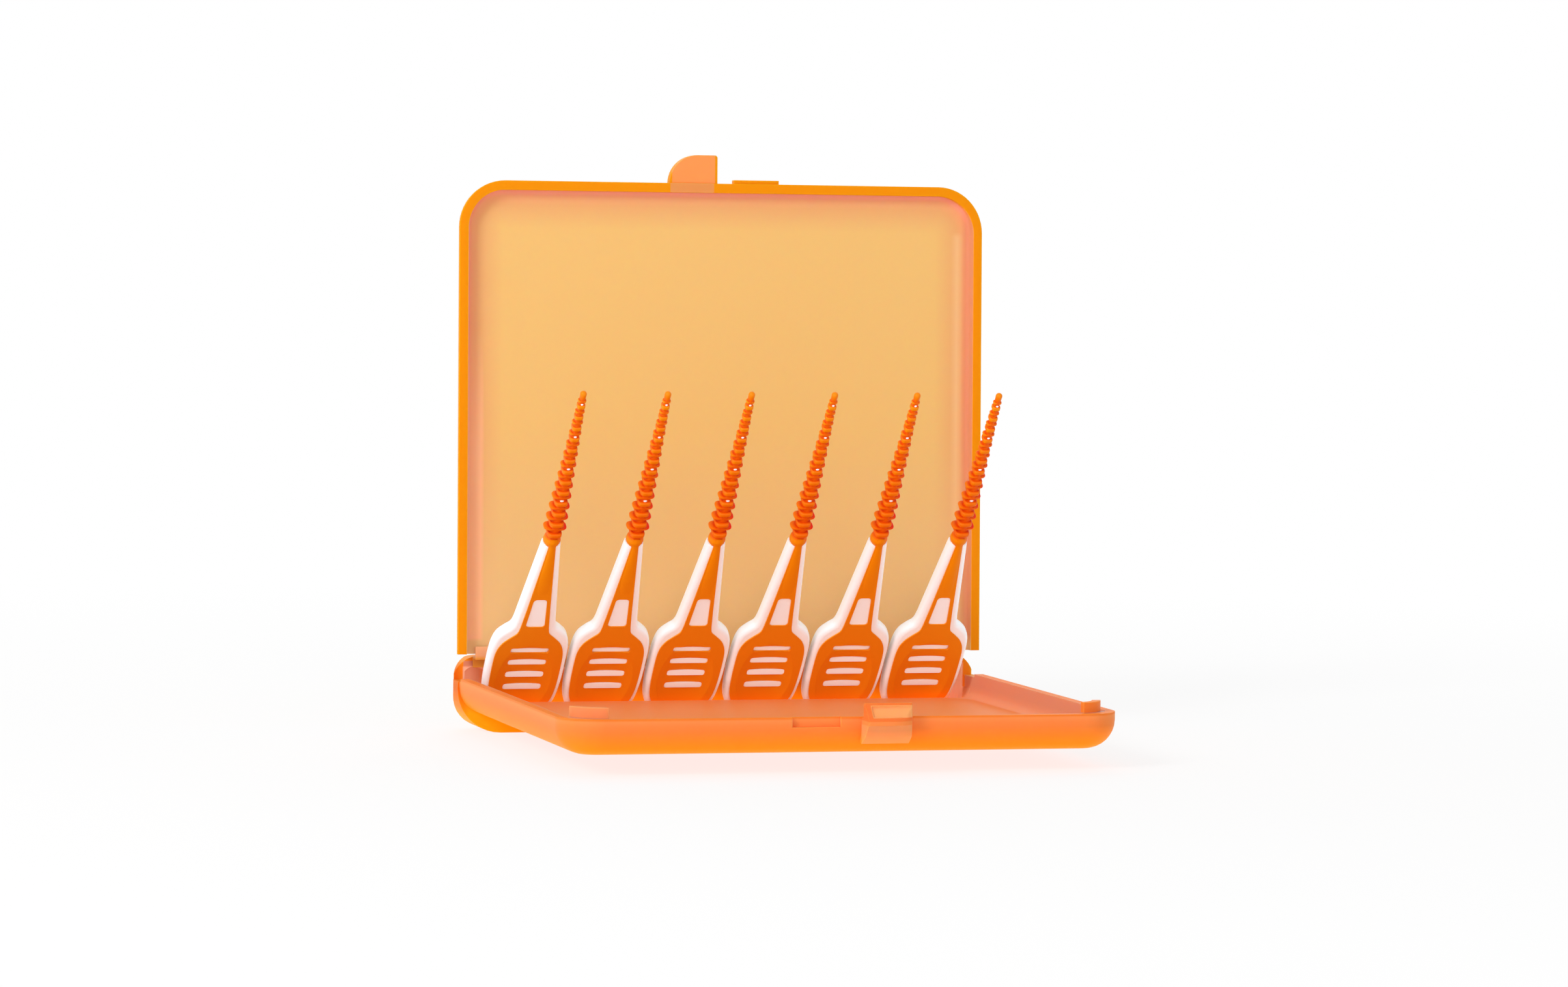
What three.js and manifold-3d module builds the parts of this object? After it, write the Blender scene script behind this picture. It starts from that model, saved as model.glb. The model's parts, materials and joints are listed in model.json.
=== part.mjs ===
import * as THREE from 'three';
import { mergeVertices } from 'three/addons/utils/BufferGeometryUtils.js';
import Module from 'manifold-3d';

const wasm = await Module();
wasm.setup();

// Millimetres. X runs across the case, Y towards its hinge, Z up from the table.
const caseHalf = 35;
const wall = 1.2;
const cornerRadius = 5;
const beyond = 40;

// Shallow tray in front.
const trayFront = -30.8;
const trayBottom = 2.5;
const trayFloor = 3.8;
const trayRim = 7;
const trayWallEnd = 25.5;
const trayNose = 3.5;
const trayFillet = 1;
const floorLip = 27.3;
const sill = 6.6;

// Deep pocket across the back, which takes the handles.
const pocketHalf = 35.5;
const pocketFace = 26.4;
const pocketTop = 9.6;
const pocketRim = 30.2;
const pocketBack = 34;
const pocketWall = 1.4;
const pocketCeiling = 8.2;
const pocketFootEnd = 31;
const pocketLowRadius = 5.2;
const pocketHighRadius = 3.6;
const pocketPlanRadius = 7;
const mouthTop = 6.2;

// Thumb tab of the base as (distance in front of the tray, height), and the slot beside it.
const baseTabLeft = 1.9;
const baseTabWidth = 5.9;
const baseTabReach = 3.2;
const baseTabSide = [
  [-0.5, 4], [0, 3.9], [1.6, 4.6], [3.2, 5.9], [3.2, 6.7],
  [1.4, 8.7], [0.8, 8.5], [0.8, 6.9], [-0.5, 6.9],
];
const slotLeft = -7.1;
const slotRight = -1;
const slotFloor = 5.8;
const slotDepth = 0.6;

// Lugs in the front corners, just inside the closed lid.
const lugs = [{ left: -34, right: -29.2, back: -27.3 }, { left: 29.9, right: 34, back: -25.7 }];
const lugInset = 1.5;
const lugThick = 1.1;
const lugTop = 8.25;

// Lid, standing a little past upright on the film hinge.
const hingeY = 29.9;
const hingeZ = 9.9;
const lidLength = 60.65;
const lidCorner = 6;
const lidDepth = 2.58;
const lidPanel = 1.1;
const lidNose = 2.2;
const lidFillet = 0.6;
const lidPast = THREE.MathUtils.degToRad(1.8);

// Thumb tab of the lid and the low ridge beside it.
const lidTabRight = -0.9;
const lidTabWidth = 6.4;
const lidTabReach = 3.7;
const lidTabLow = 1;
const lidTabHigh = 2.3;
const ridgeLeft = 1.4;
const ridgeRight = 7.4;
const ridgeProud = 0.5;
const ridgeLow = 0.9;
const ridgeHigh = 2.1;

// Film hinge: a strip whose legs lie on the pocket and on the lid.
const filmHalf = 32.5;
const filmThick = 0.35;
const filmFront = 28.15;
const filmBack = 29.9;
const filmFold = 9.55;
const filmLow = 8.1;
const filmHigh = 10.9;

// Picks, side by side, leaning out of the pocket towards the front.
const pickCount = 6;
const pickPitch = 10.695;
const pickLean = THREE.MathUtils.degToRad(39.8);
const windowY = 18.55;
const windowZ = 15.63;
const coreThick = 1.8;
const panelGap = 0.2;
const panelThick = 0.4;
const sleeveAxis = -0.8;
const sleeveStart = 12.5;
const sleeveEnd = 37.64;
const ribCount = 13;
const ribFirst = 15.3;
const ribLast = 36.2;
const ribRadii = [1.52, 0.5];
const rootRadii = [0.92, 0.4];
const bulbEdge = [[1.13, 12.85], [1.06, 13.25], [0.85, 13.6], [0.85, 13.9], [0.95, 14.1], [0.95, 14.3]];
const tipEdge = [[0.45, 37.2], [0.32, 37.5], [0, sleeveEnd]];
const sleeveBore = 25.3;
const stemEnd = 25;
const barRows = [-6.2, -8.4, -10.6, -12.8];
const barHalf = 2.5;
const barHigh = 0.9;
const barGap = 0.35;
const handleEdge = [
  [2.8, -18.2], [4.5, -16], [5.05, -12.8], [5.15, -9], [5.05, -5.8], [4.6, -4], [3.7, -2.9], [2.85, -2.1],
];
const panelEdge = [
  [2.5, -17], [3.9, -15.3], [4.4, -12.8], [4.5, -8.7], [4.35, -6.4], [3.8, -5], [2.9, -4], [2, -3.1],
];
const neckHalf = 1.15;
const stripHalf = 0.45;
const windowEdge = [[-0.85, 2.8], [0.85, 2.8], [1.25, -2], [-1.25, -2]];

const casePlastic = { color: 0xfa9a3c, roughness: 0.45, metalness: 0 };
const hingePlastic = { color: 0xf08a4c, roughness: 0.5, metalness: 0 };
const corePlastic = { color: 0xfff3ee, roughness: 0.4, metalness: 0 };
const softRubber = { color: 0xec690c, roughness: 0.55, metalness: 0 };

// Closed geometry to solid, and back.
function toSolid(geometry) {
  geometry.deleteAttribute('normal');
  geometry.deleteAttribute('uv');
  const merged = mergeVertices(geometry, 1e-4);
  const vertProperties = Float32Array.from(merged.attributes.position.array);
  const triVerts = Uint32Array.from(merged.index.array);
  return new wasm.Manifold(new wasm.Mesh({ numProp: 3, vertProperties, triVerts }));
}

function toGeometry(solid) {
  const mesh = solid.getMesh();
  const geometry = new THREE.BufferGeometry();
  geometry.setAttribute('position', new THREE.BufferAttribute(Float32Array.from(mesh.vertProperties), 3));
  geometry.setIndex(Array.from(mesh.triVerts));
  geometry.computeVertexNormals();
  return geometry;
}

function boxSolid(x0, x1, y0, y1, z0, z1) {
  const geometry = new THREE.BoxGeometry(x1 - x0, y1 - y0, z1 - z0);
  geometry.translate((x0 + x1) / 2, (y0 + y1) / 2, (z0 + z1) / 2);
  return toSolid(geometry);
}

// Outline drawn in plan, raised between two heights.
function planSolid(shape, z0, z1) {
  const options = { depth: z1 - z0, bevelEnabled: false, curveSegments: 6 };
  const geometry = new THREE.ExtrudeGeometry(shape, options);
  geometry.translate(0, 0, z0);
  return toSolid(geometry);
}

// Outline drawn in plan whose upper and lower edges are rounded inside the outline.
function roundedSolid(shape, z0, z1, radius, steps) {
  const geometry = new THREE.ExtrudeGeometry(shape, {
    depth: z1 - z0 - 2 * radius,
    bevelThickness: radius,
    bevelSize: radius,
    bevelOffset: -radius,
    bevelSegments: steps,
    curveSegments: 6,
  });
  geometry.translate(0, 0, z0 + radius);
  return toSolid(geometry);
}

// Side view, drawn as (Y, Z), carried across between two X.
function sideSolid(shape, x0, x1) {
  const options = { depth: x1 - x0, bevelEnabled: false, curveSegments: 5 };
  const geometry = new THREE.ExtrudeGeometry(shape, options);
  const across = new THREE.Vector3(1, 0, 0);
  const back = new THREE.Vector3(0, 1, 0);
  const up = new THREE.Vector3(0, 0, 1);
  geometry.applyMatrix4(new THREE.Matrix4().makeBasis(back, up, across));
  geometry.translate(x0, 0, 0);
  return toSolid(geometry);
}

// Front view, drawn as (X, Z), carried back between two Y.
function frontSolid(shape, y0, y1) {
  const options = { depth: y1 - y0, bevelEnabled: false, curveSegments: 6 };
  const geometry = new THREE.ExtrudeGeometry(shape, options);
  const across = new THREE.Vector3(1, 0, 0);
  const up = new THREE.Vector3(0, 0, 1);
  const front = new THREE.Vector3(0, -1, 0);
  geometry.applyMatrix4(new THREE.Matrix4().makeBasis(across, up, front));
  geometry.translate(0, y1, 0);
  return toSolid(geometry);
}

// Polygon with straight sides.
function polygon(points) {
  return new THREE.Shape(points.map(([x, y]) => new THREE.Vector2(x, y)));
}

// Rectangle whose low-Y corners and high-Y corners have their own radii.
function rounded(x0, x1, y0, y1, low, high) {
  const shape = new THREE.Shape();
  shape.moveTo(x0 + low, y0);
  shape.lineTo(x1 - low, y0);
  if (low > 0) shape.absarc(x1 - low, y0 + low, low, -Math.PI / 2, 0, false);
  shape.lineTo(x1, y1 - high);
  if (high > 0) shape.absarc(x1 - high, y1 - high, high, 0, Math.PI / 2, false);
  shape.lineTo(x0 + high, y1);
  if (high > 0) shape.absarc(x0 + high, y1 - high, high, Math.PI / 2, Math.PI, false);
  shape.lineTo(x0, y0 + low);
  if (low > 0) shape.absarc(x0 + low, y0 + low, low, Math.PI, Math.PI * 1.5, false);
  return shape;
}

// Plate outline with one quarter-round shoulder, the straight side at the origin.
function quarterTab(width, reach, side) {
  const shape = new THREE.Shape();
  const corner = 0.35;
  shape.moveTo(0, -0.5);
  shape.lineTo(width, -0.5);
  shape.lineTo(width, 0);
  shape.absarc(width - reach, 0, reach, 0, Math.PI / 2, false);
  shape.lineTo(corner, reach);
  shape.absarc(corner, reach - corner, corner, Math.PI / 2, Math.PI, false);
  shape.lineTo(0, -0.5);
  if (side > 0) return shape;
  return new THREE.Shape(shape.getPoints(6).map((point) => new THREE.Vector2(-point.x, point.y)).reverse());
}

// Outline that mirrors one run of points about the centre line.
function mirrored(points) {
  const right = points.map(([x, y]) => new THREE.Vector2(x, y));
  const left = points.map(([x, y]) => new THREE.Vector2(-x, y)).reverse();
  return new THREE.Shape(right.concat(left));
}

// Points along a smooth curve through a few given ones.
function smooth(points, steps) {
  const curve = new THREE.SplineCurve(points.map(([x, y]) => new THREE.Vector2(x, y)));
  return curve.getPoints(steps).map((point) => [point.x, point.y]);
}

// Tray, rounded under along its sides and front.
function makeTray(form) {
  const front = form.intersect(boxSolid(-beyond, beyond, -beyond, trayWallEnd, 0, trayRim));
  const rear = form.intersect(boxSolid(-beyond, beyond, trayWallEnd - 1, floorLip + wall, 0, sill));
  return front.add(rear);
}

function makeTrayHollow() {
  const half = caseHalf - wall;
  const inside = rounded(-half, half, trayFront + wall, beyond, cornerRadius - wall, 0);
  const hollow = roundedSolid(inside, trayFloor, beyond, trayFillet, 3)
    .intersect(boxSolid(-beyond, beyond, trayFront, floorLip, 0, beyond));
  return hollow.add(boxSolid(-half, half, floorLip - 0.01, pocketRim, sill - 1.6, beyond));
}

// Pocket, open to the front above the floor's lip and roofed behind the hinge.
function makePocket() {
  const side = new THREE.Shape();
  side.moveTo(pocketFace, 0.6);
  side.quadraticCurveTo(pocketFace, 0, pocketFace + 0.6, 0);
  side.lineTo(pocketFootEnd, 0);
  side.quadraticCurveTo(pocketBack, 0, pocketBack, 3);
  side.lineTo(pocketBack, pocketTop - 2.2);
  side.quadraticCurveTo(pocketBack, pocketTop, pocketBack - 2.2, pocketTop);
  side.lineTo(pocketRim, pocketTop);
  side.lineTo(pocketRim, sill);
  side.lineTo(pocketFace, sill);
  const front = rounded(-pocketHalf, pocketHalf, 0, pocketTop, pocketLowRadius, pocketHighRadius);
  const plan = rounded(-pocketHalf, pocketHalf, 10, pocketBack, 0, pocketPlanRadius);
  return sideSolid(side, -pocketHalf, pocketHalf)
    .intersect(frontSolid(front, 10, beyond))
    .intersect(planSolid(plan, -1, 12));
}

function makePocketHollow() {
  const back = pocketBack - wall;
  const half = pocketHalf - pocketWall;
  const side = new THREE.Shape();
  side.moveTo(floorLip, trayFloor);
  side.lineTo(floorLip, wall + 0.8);
  side.quadraticCurveTo(floorLip, wall, floorLip + 1.1, wall);
  side.lineTo(pocketFootEnd - 0.2, wall);
  side.quadraticCurveTo(back, wall, back, wall + 2.2);
  side.lineTo(back, pocketCeiling - 1);
  side.quadraticCurveTo(back, pocketCeiling, back - 1.2, pocketCeiling);
  side.lineTo(pocketRim - 1, pocketCeiling);
  side.lineTo(pocketRim - 1, mouthTop);
  side.lineTo(floorLip, mouthTop);
  const front = rounded(-half, half, wall, pocketCeiling, pocketLowRadius - pocketWall, 1.6);
  const plan = rounded(-half, half, 10, back, 0, pocketPlanRadius - pocketWall);
  return sideSolid(side, -half, half)
    .intersect(frontSolid(front, 10, beyond))
    .intersect(planSolid(plan, -1, 12));
}

function makeBaseTab() {
  const plan = quarterTab(baseTabWidth, baseTabReach, 1);
  const block = planSolid(plan, -10, 0).rotate([180, 0, 0]).translate([baseTabLeft, trayFront, 0]);
  const side = polygon(baseTabSide.map(([ahead, height]) => [trayFront - ahead, height]).reverse());
  return block.intersect(sideSolid(side, 0, 10));
}

// Rectangle as wide as the lid's inside, drawn in by an inset.
function lidInside(inset) {
  const half = caseHalf - inset;
  return rounded(-half, half, trayFront + inset, 0, lidCorner - inset, 0);
}

// Lug: a thin wall that follows the corner and joins the tray's own wall below the rim.
function makeLug({ left, right, back }, form) {
  const root = trayFloor - 0.2;
  const outside = planSolid(lidInside(lugInset), root, lugTop);
  const inside = planSolid(lidInside(lugInset + lugThick), 0, beyond);
  const upper = boxSolid(left, right, trayFront, back, root, lugTop).intersect(outside);
  const lower = boxSolid(left, right, trayFront + wall / 2, back, root, trayRim - 0.05).intersect(form);
  return upper.add(lower).subtract(inside);
}

// Base: tray, pocket, thumb tab, slot and lugs in one moulding.
function makeBase() {
  const trayPlan = rounded(-caseHalf, caseHalf, trayFront, beyond, cornerRadius, 0);
  const form = roundedSolid(trayPlan, trayBottom, trayBottom + 14, trayNose, 5);
  const slot = boxSolid(slotLeft, slotRight, trayFront - 1, trayFront + slotDepth, slotFloor, trayRim + 1);
  const shell = makeTray(form).add(makePocket())
    .subtract(makeTrayHollow()).subtract(makePocketHollow()).subtract(slot);
  return lugs.reduce((solid, lug) => solid.add(makeLug(lug, form)), shell.add(makeBaseTab()));
}

// Lid, drawn with its hinge along the origin and its rim facing up.
function makeLid() {
  const outside = rounded(-caseHalf, caseHalf, -6, lidLength, 0, lidCorner);
  const shell = roundedSolid(outside, 0, lidDepth + 8, lidNose, 4)
    .intersect(boxSolid(-beyond, beyond, 0, lidLength + 1, -1, lidDepth));
  const half = caseHalf - wall;
  const inside = rounded(-half, half, -6, lidLength - wall, 0, lidCorner - wall);
  const hollow = roundedSolid(inside, lidPanel, lidDepth + 8, lidFillet, 2);
  const tab = planSolid(quarterTab(lidTabWidth, lidTabReach, -1), lidTabLow, lidTabHigh)
    .translate([lidTabRight, lidLength - 0.05, 0]);
  const ridgePlan = rounded(ridgeLeft, ridgeRight, lidLength - 0.9, lidLength + ridgeProud, 0.3, 0.3);
  const ridge = roundedSolid(ridgePlan, ridgeLow, ridgeHigh, 0.2, 1);
  return shell.subtract(hollow).add(tab).add(ridge);
}

// Film hinge: up the inside of the lid, across the gap and down the front of the pocket.
function makeFilmHinge() {
  const strip = polygon([
    [filmFront, filmFold - filmThick],
    [filmBack - filmThick, filmFold - filmThick],
    [filmBack - filmThick, filmLow],
    [filmBack, filmLow],
    [filmBack, filmFold],
    [filmFront + filmThick, filmFold],
    [filmFront + filmThick, filmHigh],
    [filmFront, filmHigh],
  ]);
  return sideSolid(strip, -filmHalf, filmHalf);
}

// Stiff core of a pick: flat handle, tapering neck, grip bars and a stem inside the sleeve.
function makeCore() {
  const outline = mirrored([...smooth(handleEdge, 14), [neckHalf, sleeveStart - 0.3]]);
  const plate = roundedSolid(outline, -coreThick, 0, 0.5, 2);
  const taper = polygon([[-20, -coreThick - 1], [-1, -coreThick], [14, -1.5], [14, 1.5], [-20, 1.5]]);
  const body = plate.intersect(sideSolid(taper, -8, 8));
  const stemEdge = [[0, 11], [0.42, 11], [0.14, stemEnd], [0, stemEnd]];
  const stem = new THREE.LatheGeometry(stemEdge.map(([r, s]) => new THREE.Vector2(r, s)), 8);
  stem.translate(0, 0, sleeveAxis);
  const front = panelGap + panelThick;
  const bars = barRows.map((row) => (
    boxSolid(-barHalf, barHalf, row - barHigh / 2, row + barHigh / 2, -0.6, front)
  ));
  return bars.reduce((solid, bar) => solid.add(bar), body.add(toSolid(stem)));
}

// Ribbed sleeve: a bulb and a collar at its foot, ribs that shrink evenly and a domed tip.
function makeSleeve() {
  const edge = [[0, sleeveBore], [0.36, sleeveBore], [0.65, sleeveStart], [1, sleeveStart]];
  edge.push(...bulbEdge);
  for (let rib = 0; rib < ribCount; rib += 1) {
    const share = rib / (ribCount - 1);
    const low = THREE.MathUtils.lerp(ribFirst, ribLast, share);
    const radius = THREE.MathUtils.lerp(...ribRadii, share);
    const root = THREE.MathUtils.lerp(...rootRadii, share);
    edge.push([root, low - 0.25], [radius, low], [radius, low + 0.28], [root, low + 0.85]);
  }
  edge.push(...tipEdge);
  const sleeve = new THREE.LatheGeometry(edge.map(([r, s]) => new THREE.Vector2(r, s)), 10);
  sleeve.translate(0, 0, sleeveAxis);
  return toSolid(sleeve);
}

// Soft overmould of a pick: sleeve, strip down the neck and front panel round the bars.
function makeOvermould() {
  const strip = [[1.55, 0.5], [stripHalf, sleeveStart - 0.7], [stripHalf, sleeveStart + 0.9]];
  const outline = mirrored([...smooth(panelEdge, 12), ...strip]);
  outline.holes.push(new THREE.Path(windowEdge.map(([x, y]) => new THREE.Vector2(x, y))));
  const front = panelGap + panelThick;
  const panel = planSolid(outline, panelGap, front);
  const bridge = boxSolid(-stripHalf, stripHalf, sleeveStart + 0.05, sleeveStart + 0.9, -0.2, front);
  const slotHalf = barHalf + barGap;
  const slotHigh = barHigh / 2 + barGap;
  const cuts = barRows.map((row) => boxSolid(-slotHalf, slotHalf, row - slotHigh, row + slotHigh, 0, 2));
  return cuts.reduce((solid, cut) => solid.subtract(cut), panel).add(bridge).add(makeSleeve());
}

function makeMesh(name, geometry, look) {
  const mesh = new THREE.Mesh(geometry, new THREE.MeshStandardMaterial(look));
  mesh.name = name;
  return mesh;
}

const interdentalPickCase = new THREE.Group();
interdentalPickCase.add(makeMesh('base', toGeometry(makeBase()), casePlastic));
interdentalPickCase.add(makeMesh('film_hinge', toGeometry(makeFilmHinge()), hingePlastic));

const lidGroup = new THREE.Group();
lidGroup.position.set(0, hingeY, hingeZ);
lidGroup.rotation.x = Math.PI / 2 - lidPast;
lidGroup.add(makeMesh('lid', toGeometry(makeLid()), casePlastic));
interdentalPickCase.add(lidGroup);

const coreGeometry = toGeometry(makeCore());
const overmouldGeometry = toGeometry(makeOvermould());
for (let index = 0; index < pickCount; index += 1) {
  const pick = new THREE.Group();
  pick.position.set((index - (pickCount - 1) / 2) * pickPitch, windowY, windowZ);
  pick.rotation.x = Math.PI / 2 + pickLean;
  pick.add(makeMesh(`pick_${index + 1}_core`, coreGeometry, corePlastic));
  pick.add(makeMesh(`pick_${index + 1}_overmould`, overmouldGeometry, softRubber));
  interdentalPickCase.add(pick);
}

export default interdentalPickCase;
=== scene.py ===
import json
import math

import bmesh
import bpy
from mathutils import Matrix, Vector


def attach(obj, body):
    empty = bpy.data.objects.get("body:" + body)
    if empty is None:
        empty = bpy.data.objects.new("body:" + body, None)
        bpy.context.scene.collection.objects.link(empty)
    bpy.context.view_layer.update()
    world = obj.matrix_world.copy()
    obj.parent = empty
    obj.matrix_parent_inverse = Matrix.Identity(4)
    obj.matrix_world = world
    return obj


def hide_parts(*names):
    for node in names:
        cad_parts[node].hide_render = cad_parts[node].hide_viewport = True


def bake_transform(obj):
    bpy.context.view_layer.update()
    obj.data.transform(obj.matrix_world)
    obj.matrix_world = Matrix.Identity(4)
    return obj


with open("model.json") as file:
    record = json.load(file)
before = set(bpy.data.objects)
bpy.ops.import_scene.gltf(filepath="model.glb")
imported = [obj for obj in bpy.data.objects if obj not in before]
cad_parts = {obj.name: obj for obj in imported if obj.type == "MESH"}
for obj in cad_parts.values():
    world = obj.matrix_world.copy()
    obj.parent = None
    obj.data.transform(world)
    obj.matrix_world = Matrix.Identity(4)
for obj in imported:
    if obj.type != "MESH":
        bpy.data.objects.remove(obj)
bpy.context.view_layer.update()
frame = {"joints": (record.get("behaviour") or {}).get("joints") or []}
scene = bpy.context.scene
joints = {joint["name"]: joint for joint in frame["joints"]}
mm = 0.001  # pieces are drawn in millimetres and brought to metres at the end
tolerance = 1e-4
sharpAngle = math.radians(38)  # edges that turn more than this stay crisp in the shading
facets = {"corner": 14, "lug": 12, "end": 10, "nose": 8, "plate": 5, "fillet": 4}  # in each rounding


# small modelling helpers

def near(a, b):
    return abs(a - b) < tolerance


def boxShape(low, high):
    bm = bmesh.new()
    bmesh.ops.create_cube(bm, size=1)
    bmesh.ops.scale(bm, vec=[b - a for a, b in zip(low, high)], verts=bm.verts)
    bmesh.ops.translate(bm, vec=[(a + b) / 2 for a, b in zip(low, high)], verts=bm.verts)
    return bm


def outlineShape(points, low, high):  # flat outline raised from low to high
    bm = bmesh.new()
    face = bm.faces.new([bm.verts.new((x, y, low)) for x, y in points])
    raised = bmesh.ops.extrude_face_region(bm, geom=[face])["geom"]
    top = [v for v in raised if isinstance(v, bmesh.types.BMVert)]
    bmesh.ops.translate(bm, vec=(0, 0, high - low), verts=top)
    bmesh.ops.recalc_face_normals(bm, faces=bm.faces)
    return bm


def roundEdges(bm, radius, steps, picked):
    edges = [e for e in bm.edges if picked(*[v.co for v in e.verts])]
    bmesh.ops.bevel(bm, geom=edges, offset=radius, offset_type="OFFSET", segments=steps,
                    profile=0.5, affect="EDGES", material=-1, clamp_overlap=False)
    return bm


def upright(a, b):
    return near(a.x, b.x) and near(a.y, b.y)


def uprightsAt(depth):  # upright edges at one depth
    return lambda a, b: upright(a, b) and near(a.y, depth)


def loopAt(height, skip):  # edges at one height, without the straight one at depth skip
    return lambda a, b: (near(a.z, height) and near(b.z, height)
                         and not (near(a.y, skip) and near(b.y, skip)))


def alongX(depth, height):  # the edge across the case at one depth and height
    return lambda a, b: near(a.y, b.y) and near(a.z, b.z) and near(a.y, depth) and near(a.z, height)


def alongY(height):  # edges from front to back at one height
    return lambda a, b: near(a.x, b.x) and near(a.z, b.z) and near(a.z, height)


def toObject(name, bm):
    mesh = bpy.data.meshes.new(name)
    bm.to_mesh(mesh)
    bm.free()
    piece = bpy.data.objects.new(name, mesh)
    scene.collection.objects.link(piece)
    return piece


def toShape(piece):  # back from a piece to a shape
    bm = bmesh.new()
    bm.from_mesh(piece.data)
    bpy.data.objects.remove(piece)
    return bm


def settle(piece):  # what the modifiers show becomes the mesh
    graph = bpy.context.evaluated_depsgraph_get()
    shown = bpy.data.meshes.new_from_object(piece.evaluated_get(graph))
    piece.modifiers.clear()
    piece.data = shown


def combine(piece, bm, how):
    tool = toObject("tool", bm)
    step = piece.modifiers.new("combine", "BOOLEAN")
    step.operation = how
    step.solver = "EXACT"
    step.object = tool
    settle(piece)
    bpy.data.objects.remove(tool)


def softenEdges(piece, width, steps, angle=50):  # angle is the least turn, in degrees
    soft = piece.modifiers.new("soften", "BEVEL")
    soft.width = width
    soft.segments = steps
    soft.limit_method = "ANGLE"
    soft.angle_limit = math.radians(angle)
    soft.use_clamp_overlap = True
    soft.miter_outer = "MITER_ARC"
    settle(piece)


def dress(piece, place, material):  # to metres, with its finish
    piece.data.transform(Matrix.Scale(mm, 4) @ place)
    piece.data.materials.clear()
    piece.data.materials.append(material)
    piece.data.shade_smooth()
    piece.data.set_sharp_from_angle(angle=sharpAngle)


def placePiece(piece, place, material, body, slot, *nodes):
    dress(piece, place, material)
    even = piece.modifiers.new("even normals", "WEIGHTED_NORMAL")
    even.keep_sharp = True
    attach(piece, body)
    if nodes:
        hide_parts(*nodes)


def curveThrough(points, steps):  # smooth run through a few given points
    spread = [points[0], *points, points[-1]]
    run = []
    for i in range(len(points) - 1):
        p0, p1, p2, p3 = [Vector(p) for p in spread[i:i + 4]]
        for k in range(steps):
            t = k / steps
            run.append(0.5 * (2 * p1 + (p2 - p0) * t + (2 * p0 - 5 * p1 + 4 * p2 - p3) * t * t
                              + (3 * p1 - p0 - 3 * p2 + p3) * t ** 3))
    return [*run, Vector(points[-1])]


def bothSides(points):  # mirrors one run of points about the centre line
    return [(x, y) for x, y in points] + [(-x, y) for x, y in reversed(points)]


# finishes

def newMaterial(name):
    material = bpy.data.materials.new(name)
    material.use_nodes = True
    tree = material.node_tree
    return material, tree, tree.nodes["Principled BSDF"]


def fromByte(*values):  # screen colour 0-255 to the shader's linear colour
    linear = [v / 255 / 12.92 if v <= 10 else ((v / 255 + 0.055) / 1.055) ** 2.4 for v in values]
    return (*linear, 1)


def ramp(tree, factor, stops):
    node = tree.nodes.new("ShaderNodeValToRGB")
    tree.links.new(factor, node.inputs["Fac"])
    marks = node.color_ramp.elements
    while len(marks) < len(stops):
        marks.new(0.5)
    for mark, (position, colour) in zip(marks, stops):
        mark.position = position
        mark.color = colour
    return node.outputs["Color"]


texture = {"detail": 3, "relief": 0.2}  # relief is a share of the grain's size


def grain(tree, shader, size, strength):  # fine moulded texture
    place = tree.nodes.new("ShaderNodeTexCoord").outputs["Object"]
    noise = tree.nodes.new("ShaderNodeTexNoise")
    noise.inputs["Scale"].default_value = 1 / size
    noise.inputs["Detail"].default_value = texture["detail"]
    bump = tree.nodes.new("ShaderNodeBump")
    bump.inputs["Strength"].default_value = strength
    bump.inputs["Distance"].default_value = size * texture["relief"]
    tree.links.new(place, noise.inputs["Vector"])
    tree.links.new(noise.outputs["Fac"], bump.inputs["Height"])
    tree.links.new(bump.outputs["Normal"], shader.inputs["Normal"])
    return place, noise.outputs["Fac"]


def vectorMath(tree, operation, first, second):
    node = tree.nodes.new("ShaderNodeVectorMath")
    node.operation = operation
    tree.links.new(first, node.inputs[0])
    if second is not None:
        node.inputs[1].default_value = second
    return node.outputs["Value"] if operation == "LENGTH" else node.outputs["Vector"]


def mapRange(tree, value, low, high):
    node = tree.nodes.new("ShaderNodeMapRange")
    tree.links.new(value, node.inputs["Value"])
    node.inputs["From Min"].default_value = low
    node.inputs["From Max"].default_value = high
    return node.outputs["Result"]


def scaled(tree, value, factor):
    node = tree.nodes.new("ShaderNodeMath")
    node.operation = "MULTIPLY"
    tree.links.new(value, node.inputs[0])
    node.inputs[1].default_value = factor
    return node.outputs["Value"]


def joined(tree, operation, first, second):
    node = tree.nodes.new("ShaderNodeMath")
    node.operation = operation
    tree.links.new(first, node.inputs[0])
    tree.links.new(second, node.inputs[1])
    return node.outputs["Value"]


def product(tree, first, second):
    return joined(tree, "MULTIPLY", first, second)


def axis(tree, place, name):
    node = tree.nodes.new("ShaderNodeSeparateXYZ")
    tree.links.new(place, node.inputs["Vector"])
    return node.outputs[name]


def boxMask(tree, place, low, high, soft):  # 1 inside a box given in millimetres
    middle = [(a + b) / 2 * mm for a, b in zip(low, high)]
    half = [(b - a) / 2 * mm for a, b in zip(low, high)]
    folded = vectorMath(tree, "ABSOLUTE", vectorMath(tree, "SUBTRACT", place, middle), None)
    over = vectorMath(tree, "MAXIMUM", vectorMath(tree, "SUBTRACT", folded, half), (0, 0, 0))
    return mapRange(tree, vectorMath(tree, "LENGTH", over, None), soft * mm, 0)


beyondAll = 100.0  # past every piece


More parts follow.
